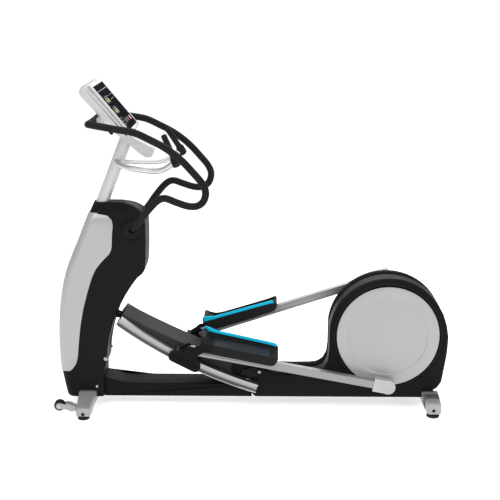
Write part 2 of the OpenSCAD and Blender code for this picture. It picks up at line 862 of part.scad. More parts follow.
base_frame();
mast();
console_post();
base_cover();
housing_half();  // housing_left
mirrored() housing_half();  // housing_right
shroud_half();  // shroud_left
mirrored() shroud_half();  // shroud_right
side_panel();  // side_panel_left
mirrored() side_panel();  // side_panel_right
front_stabiliser();
rear_stabiliser();
levelling_feet();
lift_actuator();
ramp_shaft();
handlebar();  // handlebar_left
mirrored() handlebar();  // handlebar_right
sensor_tube();  // sensor_tube_left
mirrored() sensor_tube();  // sensor_tube_right
pulse_grip();  // pulse_grip_left
mirrored() pulse_grip();  // pulse_grip_right
handlebar_sockets();
console_back();
console_bezel();
display_panel();
console_neck();
key_up();
key_down();
stop_button();
crank_bearings();
drive_belt();
transport_wheel();  // transport_wheel_left
mirrored() transport_wheel();  // transport_wheel_right
crank_shaft();
drive_pulley();
crank_arm(-1);  // crank_arm_left
mirrored() crank_arm(1);  // crank_arm_right
crank_disc(-1);  // crank_disc_left
mirrored() crank_disc(1);  // crank_disc_right
flywheel();
ramp_frame();
rail();  // rail_left
mirrored() rail();  // rail_right
ramp_cover();
lift_rod();
carriage(left_a);  // carriage_left
mirrored() carriage(right_a);  // carriage_right
roller(left_a, -roller_x);  // roller_left_front
roller(left_a, roller_x);  // roller_left_rear
mirrored() roller(right_a, -roller_x);  // roller_right_front
mirrored() roller(right_a, roller_x);  // roller_right_rear
pivot_pin(left_pivot);  // pivot_pin_left
mirrored() pivot_pin(right_pivot);  // pivot_pin_right
arm(left_pivot, left_pitch);  // arm_left
mirrored() arm(right_pivot, right_pitch);  // arm_right
arm_cap(left_pivot, left_pitch);  // arm_cap_left
mirrored() arm_cap(right_pivot, right_pitch);  // arm_cap_right
pedal(left_pivot, left_pitch);  // pedal_left
mirrored() pedal(right_pivot, right_pitch);  // pedal_right
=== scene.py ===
"""Looks of the elliptical trainer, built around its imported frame. Metres, the CAD's own axes:
+X to the rear, -X to the console, -Y is the user's left, +Z up."""
import bmesh
import bpy
import json
import math
from mathutils import Matrix, Vector


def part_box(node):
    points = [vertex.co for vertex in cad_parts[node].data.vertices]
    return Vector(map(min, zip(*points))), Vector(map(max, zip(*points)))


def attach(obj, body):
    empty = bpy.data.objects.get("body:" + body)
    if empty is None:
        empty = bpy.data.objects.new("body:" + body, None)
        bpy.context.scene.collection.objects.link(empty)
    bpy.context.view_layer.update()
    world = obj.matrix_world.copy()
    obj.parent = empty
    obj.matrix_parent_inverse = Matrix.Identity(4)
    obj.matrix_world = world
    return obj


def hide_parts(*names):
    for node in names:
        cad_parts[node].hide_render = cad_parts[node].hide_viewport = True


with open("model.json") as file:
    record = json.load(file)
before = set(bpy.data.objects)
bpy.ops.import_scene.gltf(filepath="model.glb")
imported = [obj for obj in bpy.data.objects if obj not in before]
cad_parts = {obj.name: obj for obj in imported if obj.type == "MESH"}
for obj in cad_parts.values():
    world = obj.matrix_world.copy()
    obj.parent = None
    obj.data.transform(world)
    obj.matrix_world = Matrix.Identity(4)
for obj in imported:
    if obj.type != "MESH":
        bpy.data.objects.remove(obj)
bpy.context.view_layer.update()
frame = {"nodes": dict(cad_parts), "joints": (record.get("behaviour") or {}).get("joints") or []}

SIDES = {"left": 1, "right": -1}
MM = 0.001
BACKGROUND_AS_LIGHT = 0.50
BACKGROUND_SEEN = 1.02


def joint_place(name):
    """A joint's point in the frame, in metres."""
    return [joint for joint in frame["joints"] if joint["name"] == name][0]["pos_m"]


CRANK_AXIS = joint_place("crank_spin")
CRANK = (CRANK_AXIS[0] / MM, CRANK_AXIS[2] / MM)
RAMP_PIVOT = joint_place("ramp_incline")
RAIL_AXIS = joint_place("carriage_left_travel")
RAIL_CENTRE = (RAIL_AXIS[0] / MM, RAIL_AXIS[2] / MM)


# ---------- camera, floor and light ----------

def make_stage():
    camera = bpy.data.objects.new("camera", bpy.data.cameras.new("camera"))
    camera.data.lens = 79.2
    camera.data.sensor_width = 36
    camera.location = (0.0699, -5.530, 2.205)
    aim = Vector((-0.017, 0, 0.826)) - camera.location
    camera.rotation_mode = "QUATERNION"
    camera.rotation_quaternion = aim.to_track_quat("-Z", "Y")
    bpy.context.collection.objects.link(camera)
    bpy.context.scene.camera = camera

    bpy.ops.mesh.primitive_plane_add(size=60)
    floor = bpy.context.object
    floor.name = "floor"
    floor.data.materials.append(floor_material())

    world = bpy.data.worlds.new("studio")
    world.use_nodes = True
    background = world.node_tree.nodes["Background"]
    background.inputs["Color"].default_value = (1, 1, 1, 1)
    # white behind the machine, dimmer as a light so that the lamps shape it
    seen = world.node_tree.nodes.new("ShaderNodeLightPath")
    level = world.node_tree.nodes.new("ShaderNodeMapRange")
    level.inputs["To Min"].default_value = BACKGROUND_AS_LIGHT
    level.inputs["To Max"].default_value = BACKGROUND_SEEN
    world.node_tree.links.new(seen.outputs["Is Camera Ray"], level.inputs["Value"])
    world.node_tree.links.new(level.outputs["Result"], background.inputs["Strength"])
    bpy.context.scene.world = world
    bpy.context.scene.view_settings.view_transform = "Standard"

    for name, place, size, power in (("key", (-2.4, -3.6, 4.2), 3.0, 105),
                                     ("fill", (3.6, -3.0, 2.6), 3.0, 50),
                                     ("top", (0.2, 0.6, 4.6), 4.0, 90),
                                     ("back", (0.5, 4.2, 3.0), 3.0, 70)):
        light = bpy.data.lights.new(name, "AREA")
        light.energy = power
        light.size = size
        lamp = bpy.data.objects.new(name, light)
        lamp.location = place
        lamp.rotation_mode = "QUATERNION"
        lamp.rotation_quaternion = (Vector((0, 0, 0.7)) - Vector(place)).to_track_quat("-Z", "Y")
        bpy.context.collection.objects.link(lamp)


# ---------- materials ----------

class Nodes:
    """A new material's node tree, with short calls for what each material needs."""

    def __init__(self, name):
        self.material = bpy.data.materials.new(name)
        self.material.use_nodes = True
        self.tree = self.material.node_tree
        self.shader = self.tree.nodes["Principled BSDF"]
        self.coords = self.new("ShaderNodeTexCoord").outputs["Object"]

    def new(self, kind, **values):
        node = self.tree.nodes.new(kind)
        for key, value in values.items():
            node.inputs[key].default_value = value
        return node

    def link(self, a, b):
        self.tree.links.new(a, b)

    def noise(self, scale, detail=4.0, stretch=None):
        node = self.new("ShaderNodeTexNoise", Scale=scale, Detail=detail)
        source = self.coords
        if stretch:
            mapping = self.new("ShaderNodeMapping", Scale=stretch)
            self.link(source, mapping.inputs["Vector"])
            source = mapping.outputs["Vector"]
        self.link(source, node.inputs["Vector"])
        return node.outputs["Fac"]

    def cells(self, scale):
        node = self.new("ShaderNodeTexVoronoi", Scale=scale)
        self.link(self.coords, node.inputs["Vector"])
        return node.outputs["Distance"]

    def ramp(self, source, stops):
        node = self.new("ShaderNodeValToRGB")
        while len(node.color_ramp.elements) < len(stops):
            node.color_ramp.elements.new(0.5)
        for element, (place, colour) in zip(node.color_ramp.elements, stops):
            element.position = place
            element.color = (*colour, 1)
        self.link(source, node.inputs["Fac"])
        return node.outputs["Color"]

    def spread(self, source, low, high):
        node = self.new("ShaderNodeMapRange")
        node.inputs["To Min"].default_value = low
        node.inputs["To Max"].default_value = high
        self.link(source, node.inputs["Value"])
        return node.outputs["Result"]

    def bump(self, source, distance, strength=1.0, under=None):
        node = self.new("ShaderNodeBump", Distance=distance, Strength=strength)
        self.link(source, node.inputs["Height"])
        if under:
            self.link(under, node.inputs["Normal"])
        return node.outputs["Normal"]

    def edge_wear(self):
        """0 on flat faces and 1 on worn edges."""
        geometry = self.new("ShaderNodeNewGeometry")
        return self.ramp(geometry.outputs["Pointiness"],
                         [(0.0, (0, 0, 0)), (0.52, (0, 0, 0)), (0.60, (1, 1, 1))])

    def mix(self, factor, a, b, blend="MIX"):
        node = self.new("ShaderNodeMix")
        node.data_type = "RGBA"
        node.blend_type = blend
        if isinstance(factor, float):
            node.inputs[0].default_value = factor
        else:
            self.link(factor, node.inputs[0])
        for socket, value in ((node.inputs[6], a), (node.inputs[7], b)):
            if isinstance(value, tuple):
                socket.default_value = (*value, 1)
            else:
                self.link(value, socket)
        return node.outputs[2]

    def done(self, colour, roughness, normal):
        self.link(colour, self.shader.inputs["Base Color"])
        self.link(roughness, self.shader.inputs["Roughness"])
        self.link(normal, self.shader.inputs["Normal"])
        return self.material


def shade(colour, gain):
    return tuple(min(1.0, c * gain) for c in colour)


def plastic(name, colour, grain=900, depth=0.00012, rough=(0.42, 0.58), wear=1.6, gloss=0.05):
    """Moulded plastic: fine spark grain, slight mottling, paler rubbed edges."""
    n = Nodes(name)
    n.shader.inputs["Specular IOR Level"].default_value = gloss
    tone = n.ramp(n.noise(3.2), [(0.3, shade(colour, 0.88)), (0.7, shade(colour, 1.12))])
    rubbed = n.mix(n.edge_wear(), tone, shade(colour, wear))
    grainy = n.bump(n.cells(grain), depth, 0.45)
    wavy = n.bump(n.noise(14.0, 2.0), 0.0006, 0.12, grainy)
    return n.done(rubbed, n.spread(n.noise(22.0), *rough), wavy)


def paint(name, colour, metallic, rough=(0.28, 0.42), fleck=0.05):
    """Powder coat: orange-peel bump, fine fleck, faint scuffs in the roughness, slight edge wear."""
    n = Nodes(name)
    tone = n.ramp(n.noise(1400.0, 2.0),
                  [(0.3, shade(colour, 1 - fleck)), (0.7, shade(colour, 1 + fleck))])
    cloud = n.ramp(n.noise(2.5), [(0.35, (0.93, 0.93, 0.93)), (0.65, (1, 1, 1))])
    clouded = n.mix(1.0, tone, cloud, "MULTIPLY")
    worn = n.mix(n.edge_wear(), clouded, shade(colour, 1.12))
    n.shader.inputs["Metallic"].default_value = metallic
    n.shader.inputs["Coat Weight"].default_value = 0.15
    n.shader.inputs["Coat Roughness"].default_value = 0.2
    scuffs = n.noise(60.0, 6.0, (1, 1, 9))
    return n.done(worn, n.spread(scuffs, *rough), n.bump(n.noise(420.0, 3.0), 0.00015, 0.25))


def brushed(name, colour, stretch, rough=(0.24, 0.40), metallic=0.9):
    """Drawn or brushed metal: long fine lines along one axis."""
    n = Nodes(name)
    lines = n.noise(260.0, 5.0, stretch)
    tone = n.ramp(lines, [(0.3, shade(colour, 0.9)), (0.7, shade(colour, 1.08))])
    n.shader.inputs["Metallic"].default_value = metallic
    n.shader.inputs["Anisotropic"].default_value = 0.3
    return n.done(n.mix(n.edge_wear(), tone, shade(colour, 1.15)), n.spread(n.noise(9.0), *rough),
                  n.bump(lines, 0.00005, 0.35))


def rubber(name, colour, grain=520, depth=0.0004, rough=(0.55, 0.78)):
    """Foam or cast rubber: pores, dull sheen, polished patches at random."""
    n = Nodes(name)
    tone = n.ramp(n.noise(9.0), [(0.3, shade(colour, 0.8)), (0.7, shade(colour, 1.25))])
    n.shader.inputs["Specular IOR Level"].default_value = 0.16
    n.shader.inputs["Sheen Weight"].default_value = 0.02
    n.shader.inputs["Sheen Roughness"].default_value = 0.5
    pores = n.bump(n.cells(grain), depth, 0.5)
    return n.done(tone, n.spread(n.noise(6.0), *rough), n.bump(n.noise(180.0), 0.0003, 0.3, pores))


def glossy_black(name):
    """Screen face: deep gloss with faint wiping streaks."""
    n = Nodes(name)
    streak = n.noise(40.0, 5.0, (1, 6, 1))
    tone = n.ramp(n.noise(5.0), [(0.3, (0.008, 0.008, 0.010)), (0.7, (0.016, 0.016, 0.020))])
    n.shader.inputs["Specular IOR Level"].default_value = 0.0
    return n.done(tone, n.spread(streak, 0.30, 0.45), n.bump(streak, 0.00002, 0.1))


def lit(name, colour, strength):
    """Glowing segments with uneven brightness."""
    n = Nodes(name)
    tone = n.ramp(n.noise(700.0), [(0.3, shade(colour, 0.7)), (0.7, colour)])
    n.link(tone, n.shader.inputs["Emission Color"])
    n.shader.inputs["Emission Strength"].default_value = strength
    return n.done(tone, n.spread(n.noise(50.0), 0.3, 0.5), n.bump(n.noise(300.0), 0.0001, 0.2))


def floor_material():
    n = Nodes("floor_paper")
    n.shader.inputs["Specular IOR Level"].default_value = 0.1
    n.shader.inputs["Emission Color"].default_value = (1, 1, 1, 1)
    n.shader.inputs["Emission Strength"].default_value = 0.62
    tone = n.ramp(n.noise(2.0), [(0.3, (0.90, 0.90, 0.90)), (0.7, (0.93, 0.93, 0.93))])
    return n.done(tone, n.spread(n.noise(30.0), 0.85, 0.95), n.bump(n.noise(200.0), 0.0001, 0.1))


make_stage()

black_shell = plastic("black_shell", (0.009, 0.009, 0.0095))
cover_grey = plastic("cover_grey", (0.045, 0.045, 0.046), grain=700, depth=0.0002,
                     rough=(0.5, 0.66))
silver_panel = paint("silver_panel", (0.375, 0.375, 0.38), 0.25)
disc_silver = paint("disc_silver", (0.385, 0.385, 0.39), 0.15, (0.34, 0.5))
post_paint = paint("post_paint", (0.54, 0.54, 0.545), 0.2)
foot_paint = paint("foot_paint", (0.33, 0.33, 0.335), 0.2)
arm_metal = brushed("arm_metal", (0.27, 0.27, 0.27), (1, 40, 40), rough=(0.28, 0.42),
                    metallic=0.6)
cap_metal = paint("cap_metal", (0.41, 0.41, 0.41), 0.3)
tube_metal = brushed("tube_metal", (0.60, 0.60, 0.61), (4, 4, 60))
rail_metal = brushed("rail_metal", (0.36, 0.36, 0.365), (1, 60, 60))
steel = brushed("steel", (0.55, 0.55, 0.56), (30, 1, 30))
bracket_black = plastic("bracket_black", (0.008, 0.008, 0.0085), grain=700, depth=0.0002)
dark_metal = paint("dark_metal", (0.035, 0.035, 0.038), 0.3)
frame_steel = paint("frame_steel", (0.030, 0.030, 0.032), 0.1)
cast_iron = paint("cast_iron", (0.12, 0.12, 0.12), 0.8, (0.4, 0.6))
grip_rubber = rubber("grip_rubber", (0.006, 0.006, 0.0065))
foot_rubber = rubber("foot_rubber", (0.010, 0.010, 0.010), grain=300, depth=0.0003)
pedal_black = plastic("pedal_black", (0.014, 0.014, 0.015), grain=800)
tread_rubber = rubber("tread_rubber", (0.016, 0.022, 0.030), grain=420, depth=0.0006,
                      rough=(0.5, 0.7))
stripe_blue = plastic("stripe_blue", (0.006, 0.45, 0.67), depth=0.0001, rough=(0.35, 0.5),
                      wear=1.1)
console_white = plastic("console_white", (0.50, 0.50, 0.50), grain=1000, depth=0.00008,
                        rough=(0.28, 0.42), wear=1.05, gloss=0.4)
screen = glossy_black("screen")
key_grey = plastic("key_grey", (0.05, 0.05, 0.055), depth=0.0001)
stop_red = plastic("stop_red", (0.35, 0.012, 0.012), depth=0.00006, rough=(0.2, 0.35),
                   gloss=0.4)
led_green = lit("led_green", (0.30, 0.44, 0.02), 0.2)
legend_white = lit("legend_white", (0.5, 0.5, 0.52), 0.15)


# ---------- mesh helpers ----------

def piece_from(name, vertices, faces, material, body, replaced=(), flip=False):
    """A smooth mesh piece that rides on a body. flip mirrors it to the right side."""
    if flip:
        vertices = [(x, -y, z) for x, y, z in vertices]
    mesh = bpy.data.meshes.new(name)
    mesh.from_pydata([tuple(v) for v in vertices], [], faces)
    mesh.update()
    grid = bmesh.new()
    grid.from_mesh(mesh)
    bmesh.ops.remove_doubles(grid, verts=grid.verts, dist=0.00001)
    bmesh.ops.recalc_face_normals(grid, faces=grid.faces)
    grid.to_mesh(mesh)
    grid.free()
    for polygon in mesh.polygons:
        polygon.use_smooth = True
    piece = bpy.data.objects.new(name, mesh)
    bpy.context.collection.objects.link(piece)
    piece.data.materials.append(material)
    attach(piece, body)
    if replaced:
        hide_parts(*replaced)
    return piece


def modify(piece, kind, name, **values):
    modifier = piece.modifiers.new(name, kind)
    for key, value in values.items():
        setattr(modifier, key, value)


def grid_faces(rows, columns, wrap=False):
    faces = []
    for i in range(rows - 1):
        for j in range(columns if wrap else columns - 1):
            k = (j + 1) % columns
            faces.append((i * columns + j, i * columns + k, (i + 1) * columns + k,
                          (i + 1) * columns + j))
    return faces


def closed_faces(rows, columns):
    """Faces all round a loft of closed rows, and a flat cap at each end."""
    caps = [tuple(range(columns)), tuple(range(columns * (rows - 1), columns * rows))]
    return grid_faces(rows, columns, True) + caps


def in_line(rows):
    """The points of all rows, one after the other."""
    return [point for row in rows for point in row]


def metres(points):
    return [tuple(value * MM for value in point) for point in points]


def smooth_route(points, steps):
    """Points along the smooth curve through a route, as the CAD runs it."""
    last = len(points) - 1
    route = []
    for i in range(last):
        a, b, c, d = (Vector(points[max(i - 1, 0)]), Vector(points[i]), Vector(points[i + 1]),
                      Vector(points[min(i + 2, last)]))
        for k in range(steps):
            t = k / steps
            route.append(0.5 * (2 * b + (c - a) * t + (2 * a - 5 * b + 4 * c - d) * t * t
                                + (3 * b - a - 3 * c + d) * t * t * t))
    return route + [Vector(points[-1])]


def tube(route, radius, sides):
    """Vertices and faces of a tube along a route; radius may be a function of the run 0..1."""
    size = radius if callable(radius) else (lambda run: radius)
    vertices = []
    axis = None
    count = len(route)
    for i, place in enumerate(route):
        heading = (route[min(i + 1, count - 1)] - route[max(i - 1, 0)]).normalized()
        if axis is None:
            axis = heading.cross(Vector((0, 1, 0)) if abs(heading.y) < 0.9 else Vector((1, 0, 0)))
        axis = (axis - heading * axis.dot(heading)).normalized()
        other = heading.cross(axis)
        for k in range(sides):
            turn = 2 * math.pi * k / sides
            vertices.append(place + size(i / (count - 1)) * (math.cos(turn) * axis
                                                             + math.sin(turn) * other))
    return vertices, closed_faces(count, sides)


def lathe_y(profile, centre, turns):
    """Revolves (radius, y) points about an axis along Y through centre (x, z)."""
    vertices = [(centre[0] + r * math.cos(2 * math.pi * k / turns), y,
                 centre[1] + r * math.sin(2 * math.pi * k / turns))
                for r, y in profile for k in range(turns)]
    return vertices, grid_faces(len(profile), turns, True)


def along(value, table):
    """Reads a table of (place, value) rows, straight from row to row."""
    if value <= table[0][0]:
        return table[0][1]
    for (a, va), (b, vb) in zip(table, table[1:]):
        if value <= b:
            return va + (vb - va) * (value - a) / (b - a)
    return table[-1][1]


def arc(centre, radius, start, end, count):
    """Points on an arc from one angle to another, in degrees."""
    return [(centre[0] + radius * math.cos(math.radians(start + (end - start) * i / count)),
             centre[1] + radius * math.sin(math.radians(start + (end - start) * i / count)))
            for i in range(count + 1)]


def hex_bolt(name, place, axis, radius, body):
    """A socket-head screw with a washer, a rounded rim and a hexagonal recess."""
    profile = [(0.0, 0.55), (0.5, 0.55), (0.52, 0.95), (0.8, 1.0), (0.97, 0.9), (1.0, 0.7),
               (1.0, 0.15), (1.35, 0.13), (1.4, 0.0)]
    vertices, sides = [], 24
    for i, (r, h) in enumerate(profile):
        for k in range(sides):
            turn = 2 * math.pi * k / sides
            reach = r * radius
            if i in (1, 2):
                reach *= 0.92 + 0.08 * abs(math.cos(3 * turn))
            vertices.append(Vector((reach * math.cos(turn), reach * math.sin(turn), h * radius)))
    turn = Vector(axis).normalized().to_track_quat("Z", "Y").to_matrix().to_4x4()
    world = Matrix.Translation(Vector(place)) @ turn
    vertices = [tuple(world @ v) for v in vertices]
    piece_from(name, vertices, grid_faces(len(profile), sides, True), steel, body)


def fillet(outline, radius, steps=5):
    """Rounds the corners of a closed 2-D outline."""
    rounded = []
    count = len(outline)
    for i in range(count):
        before, here, after = (Vector(outline[i - 1]), Vector(outline[i]),
                               Vector(outline[(i + 1) % count]))
        back, ahead = before - here, after - here
        turn = math.pi - back.angle(ahead)
        if turn < 0.12:
            rounded.append(tuple(here))
            continue
        reach = min(radius * math.tan(turn / 2), 0.45 * back.length, 0.45 * ahead.length)
        start, end = here + back.normalized() * reach, here + ahead.normalized() * reach
        for k in range(steps + 1):
            t = k / steps
            rounded.append(tuple((1 - t) ** 2 * start + 2 * t * (1 - t) * here + t * t * end))
    return rounded


def inward(outline, distance):
    """Moves every corner of a closed outline in by a distance, square to its neighbours."""
    area = sum(a[0] * b[1] - b[0] * a[1] for a, b in zip(outline, outline[1:] + outline[:1]))
    sign = 1 if area > 0 else -1
    moved = []
    for i, here in enumerate(outline):
        before, after = outline[i - 1], outline[(i + 1) % len(outline)]
        first = Vector((here[0] - before[0], here[1] - before[1])).normalized()
        second = Vector((after[0] - here[0], after[1] - here[1])).normalized()
        way = (first + second).normalized()
        normal = Vector((-way.y, way.x)) * sign
        miter = 1 / max(0.6, normal.dot(Vector((-first.y, first.x)) * sign))
        moved.append((here[0] + normal.x * distance * miter, here[1] + normal.y * distance * miter))
    return moved


def rim(edge, radius, way, steps):
    """Rows (y, distance in) of a rim rounded by radius; the slab lies way (1 or -1) of its edge."""
    if not radius:
        return [(edge, 0.0)]
    turns = [math.pi / 2 * k / steps for k in range(steps + 1)]
    return sorted((edge + way * radius * (1 - math.sin(turn)), radius * (1 - math.cos(turn)))
                  for turn in turns)


def pillow(outline, y0, y1, r0, r1, steps=6):
    """A slab along Y between y0 and y1 with rims rounded by r0 at y0 and r1 at y1."""
    rows = rim(y0, r0, 1, steps) + rim(y1, r1, -1, steps)
    vertices = [(x, y, z) for y, distance in rows for x, z in inward(outline, distance)]
    return vertices, closed_faces(len(rows), len(outline))


# ---------- CAD nodes that keep their shape ----------

def soften(node, material, width):
    """Gives a CAD node its material and, where width isn't 0, rounded edges."""
    piece = frame["nodes"][node]
    piece.data.materials.clear()
    piece.data.materials.append(material)
    for polygon in piece.data.polygons:
        polygon.use_smooth = True
    modify(piece, "WELD", "weld", merge_threshold=0.00002)
    if width:
        modify(piece, "BEVEL", "round", width=width, segments=3, limit_method="ANGLE",
               angle_limit=math.radians(32))
    modify(piece, "WEIGHTED_NORMAL", "normals", keep_sharp=True)


SOFTENED = [
    (("base_frame", "mast"), frame_steel, 0.003),
    (("console_post",), post_paint, 0.001),
    (("lift_actuator", "drive_pulley", "crank_arm_left", "crank_arm_right"), dark_metal, 0.001),
    (("ramp_shaft",), bracket_black, 0.001),
    (("crank_shaft", "crank_bearings", "lift_rod",
      "pivot_pin_left", "pivot_pin_right"), steel, 0.001),
    (("transport_wheel_left", "transport_wheel_right"), foot_rubber, 0.003),
    (("flywheel",), cast_iron, 0.001),
    (("drive_belt",), foot_rubber, 0.0),
    (("ramp_frame",), bracket_black, 0.001),
    (("rail_left", "rail_right"), rail_metal, 0.0012),
    (("ramp_cover",), cover_grey, 0.0015),
    (("carriage_left", "carriage_right"), bracket_black, 0.0025),
    (("roller_left_front", "roller_left_rear", "roller_right_front", "roller_right_rear"),
     bracket_black, 0.001),
    (("arm_left", "arm_right"), arm_metal, 0.0018),
    (("arm_cap_left", "arm_cap_right"), cap_metal, 0.006),
    (("console_neck",), console_white, 0.005),
    (("console_bezel",), console_white, 0.002),
    (("display_panel",), screen, 0.0012),
    (("key_up", "key_down"), key_grey, 0.001),
    (("stop_button",), stop_red, 0.0015),
]
for nodes, material, width in SOFTENED:
    for node in nodes:
        soften(node, material, width)


# ---------- front column ----------

FRONT_OUTLINE = [(52, -981), (60, -986), (123, -999), (190, -1010), (240, -1013.5),
                 (287, -1015), (345, -1015.6), (402, -1015), (460, -1012), (517, -1007),
                 (570, -1000.5), (622, -992), (672, -981.5), (720, -969), (762, -954.5),
                 (802, -938), (843, -921), (883, -903), (934, -882), (985, -861), (1051, -834),
                 (1084, -820)]
COLUMN_ARC = 800  # the column's back runs at this radius about the ramp's pivot
FLANK_CORNER = 42
REAR_CORNER = 16
SHELL_STEP = 5  # the shell lies this far behind the panels' outline
PANEL_LIFT = 4.6  # how far the silver panels stand off the shell
RAMP_SLOT = (286, 660)  # heights between which the ramp comes out of the column's back
SCREW_Y = 0.1048  # just inside the column's flank, in metres


def column_front(z):
    return along(z, FRONT_OUTLINE) + SHELL_STEP


def column_rear(z):
    """Straight foot, then an arc about the ramp pivot, then the upright back of the head."""
    if z < 235:
        return along(z, [(52, -786), (60, -784), (200, -782.5), (235, -766.5)])
    if z < 702:
        rise = z - RAMP_PIVOT[2] / MM
        return RAMP_PIVOT[0] / MM - math.sqrt(COLUMN_ARC ** 2 - rise ** 2)
    return along(z, [(700, -590), (722, -566), (744, -554), (800, -549), (870, -546.5),
                     (947, -546), (1000, -548), (1020, -552), (1036, -563), (1052, -580),
                     (1064, -598), (1074, -620), (1080, -646), (1084, -668)])


def column_half(z):
    return along(z, [(52, 100), (58, 104), (66, 105), (985, 105), (1004, 103), (1020, 98.5),
                     (1036, 90), (1050, 79), (1062, 68), (1073, 56), (1080, 46), (1084, 38)])


def flank_corner(half):
    return min(FLANK_CORNER, half * 0.6)


def column_section(z):
    """Half a section, from the front's middle round the flank to the rear's middle."""
    front, half, rear = column_front(z), column_half(z), column_rear(z)
    corner = flank_corner(half)
    points = [(front, 0), (front, -0.5 * (half - corner))]
    points += arc((front + corner, corner - half), corner, 180, 270, 8)
    start, end = front + corner, rear - REAR_CORNER
    points += [(start + (end - start) * k / 8, -half) for k in range(1, 8)]
    points += arc((rear - REAR_CORNER, REAR_CORNER - half), REAR_CORNER, 270, 360, 5)
    points += [(rear, -min(28, half - REAR_CORNER)), (rear, 0)]
    return points


HEIGHTS = sorted({52, 55, 58, 62, 66} | set(range(80, 1000, 20))
                 | {1000, 1010, 1020, 1028, 1036, 1044, 1052, 1059, 1066, 1072, 1077, 1081, 1084})


def make_column(side):
    """Half of the shell round the column, open where the ramp comes out."""
    rows = [[(x, y, z) for x, y in column_section(z)] for z in HEIGHTS]
    columns = len(rows[0])
    faces = []
    for face in grid_faces(len(rows), columns):
        i, j = divmod(face[0], columns)
        in_slot = j >= columns - 2 and RAMP_SLOT[0] < HEIGHTS[i] < RAMP_SLOT[1]
        if not in_slot:
            faces.append(face)
    faces.append(tuple(range(columns * (len(rows) - 1), columns * len(rows))))
    shell = piece_from("column_shell_" + side, metres(in_line(rows)), faces,
                       black_shell, "frame", ["shroud_" + side], side == "right")
    modify(shell, "SOLIDIFY", "wall", thickness=0.0035, offset=-1)
    modify(shell, "WEIGHTED_NORMAL", "normals", keep_sharp=True)


PANEL_REAR = [(196, -962), (202, -950), (230, -927), (268, -915), (369, -904), (445, -894),
              (537, -876), (627, -851), (701, -827), (750, -804), (791, -770), (828, -733),
              (857, -720), (930, -716), (980, -710), (1008, -716), (1028, -741), (1034, -783),
              (1040, -815)]


def make_side_panel(side):
    """Silver panel that wraps the column's front corner and follows its shoulder."""
    heights = [196, 199, 202, 208, 216, 224, *range(236, 1000, 18), 1004, 1012, 1020, 1027, 1032,
               1036, 1040]
    rows = []
    for z in heights:
        front, half = column_front(z) - PANEL_LIFT, column_half(z) + PANEL_LIFT
        corner, rear = flank_corner(half) + 2, along(z, PANEL_REAR)
        row = arc((front + corner, corner - half), corner, 186, 270, 9)
        start = front + corner
        rear = max(rear, start + 4)
        row += [(start + (rear - start) * k / 8, -half) for k in range(1, 9)]
        rows.append([(x, y, z) for x, y in row])
    panel = piece_from("column_panel_" + side, metres(in_line(rows)),
                       grid_faces(len(rows), len(rows[0])), silver_panel, "frame",
                       ["side_panel_" + side], side == "right")
    modify(panel, "SOLIDIFY", "wall", thickness=0.0042, offset=-1)
    modify(panel, "BEVEL", "round", width=0.0012, segments=2, limit_method="ANGLE",
           angle_limit=math.radians(40))
    modify(panel, "WEIGHTED_NORMAL", "normals", keep_sharp=True)


for side, sign in SIDES.items():
    make_column(side)
    make_side_panel(side)
    for name, x, z, radius in (("column", -0.770, 0.262, 0.007), ("base", -0.820, 0.110, 0.005)):
        hex_bolt(f"{name}_screw_{side}", (x, -SCREW_Y * sign, z), (0, -sign, 0), radius, "frame")


# ---------- base beam and drive housing ----------

def make_base_cover():
    outline = fillet([(-786, 46), (-786, 151), (-740, 141), (-700, 128), (-660, 121.5),
                      (-620, 119), (-7, 119), (-7, 46)], 3)
    vertices, faces = pillow(outline, -75, 75, 6, 6)
    piece_from("base_beam_cover", metres(vertices), faces, black_shell, "frame",
               ["base_cover"])


def make_housing(side):
    outline = [(-6, 52), (-6, 188), (9, 219), (33, 224), (58, 217), (90, 197), (130, 188),
               (215, 186.5), (300, 188), (340, 193), (370, 212), (390, 250), (396, 300)]
    outline += arc(CRANK, 303, 176, 32, 40)[1:]
    outline += [(985, 507), (1004, 450), (1015, 385), (1013, 330), (1009, 280), (988, 140),
                (965, 105), (930, 85), (890, 52)]
    vertices, faces = pillow(fillet(outline, 30), -100, -0.25, 18, 0, 8)
    shell = piece_from("drive_housing_" + side, metres(vertices), faces, black_shell, "frame",
                       ["housing_" + side], side == "right")
    modify(shell, "WEIGHTED_NORMAL", "normals", keep_sharp=True)
    # rounded ring in which the crank cover turns
    lip = [(268.5, -98), (269.5, -111), (271.5, -115.5), (275, -117.5), (279, -115.5),
           (282.5, -108), (284.5, -101.5), (287, -99)]
    vertices, faces = lathe_y(lip, CRANK, 128)
    piece_from("disc_surround_" + side, metres(vertices), faces, black_shell, "frame",
               (), side == "right")


make_base_cover()
for side in SIDES:
    make_housing(side)


# ---------- cross feet, transport wheels and crank covers ----------

TUBES_END = 106  # the base frame's tubes cross the feet within this distance of the middle


def rounded_box(x0, x1, z0, z1, radius):
    radius = min(radius, 0.48 * (x1 - x0), 0.48 * (z1 - z0))
    corners = [((x1 - radius, z1 - radius), 0), ((x0 + radius, z1 - radius), 90),
               ((x0 + radius, z0 + radius), 180), ((x1 - radius, z0 + radius), 270)]
    return [p for centre, turn in corners for p in arc(centre, radius, turn, turn + 90, 4)]


